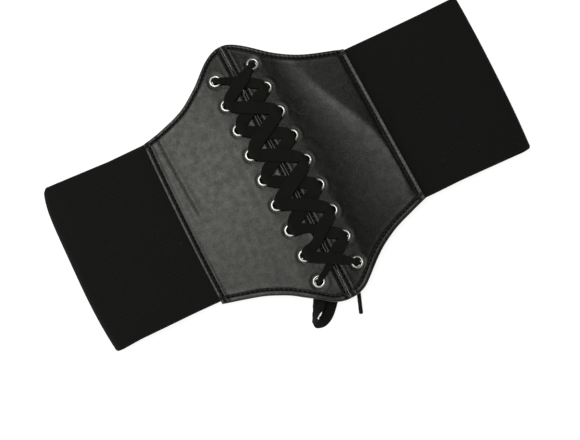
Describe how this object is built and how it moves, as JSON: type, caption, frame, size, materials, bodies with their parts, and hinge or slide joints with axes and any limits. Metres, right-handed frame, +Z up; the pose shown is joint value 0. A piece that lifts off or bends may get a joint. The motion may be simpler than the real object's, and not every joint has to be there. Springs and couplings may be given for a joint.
{
  "type": "corset belt",
  "caption": "Lace-up corset waist belt lying flat: bell-shaped leather front laced through metal eyelets over a middle seam, with a wide elastic band that closes the loop behind.",
  "frame": {"origin": "on the surface the belt lies on, midway between the two end folds and level with the middle of the laced front", "axes": "+X along the belt to the right, +Y up the laced front, +Z up out of the front's face"},
  "size_m": [0.32, 0.2087, 0.0149],
  "materials": {
    "leather": "smooth, soft gloss",
    "elastic": "matt ribbed weave",
    "lace": "matt flat weave",
    "eyelet": "polished",
    "aglet": "glossy film"
  },
  "bodies": {
    "root": {"leather_left": "leather", "leather_right": "leather", "elastic_band": "elastic", "eyelet_left_1": "eyelet", "eyelet_left_2": "eyelet", "eyelet_left_3": "eyelet", "eyelet_left_4": "eyelet", "eyelet_left_5": "eyelet", "eyelet_left_6": "eyelet", "eyelet_left_7": "eyelet", "eyelet_left_8": "eyelet", "eyelet_left_9": "eyelet", "eyelet_right_1": "eyelet", "eyelet_right_2": "eyelet", "eyelet_right_3": "eyelet", "eyelet_right_4": "eyelet", "eyelet_right_5": "eyelet", "eyelet_right_6": "eyelet", "eyelet_right_7": "eyelet", "eyelet_right_8": "eyelet", "eyelet_right_9": "eyelet", "lace": "lace", "bow_knot": "lace", "bow_loop_left": "lace", "bow_loop_right": "lace", "lace_tail_left": "lace", "lace_tail_right": "lace", "aglet_left": "aglet", "aglet_right": "aglet"}
  },
  "joints": []
}
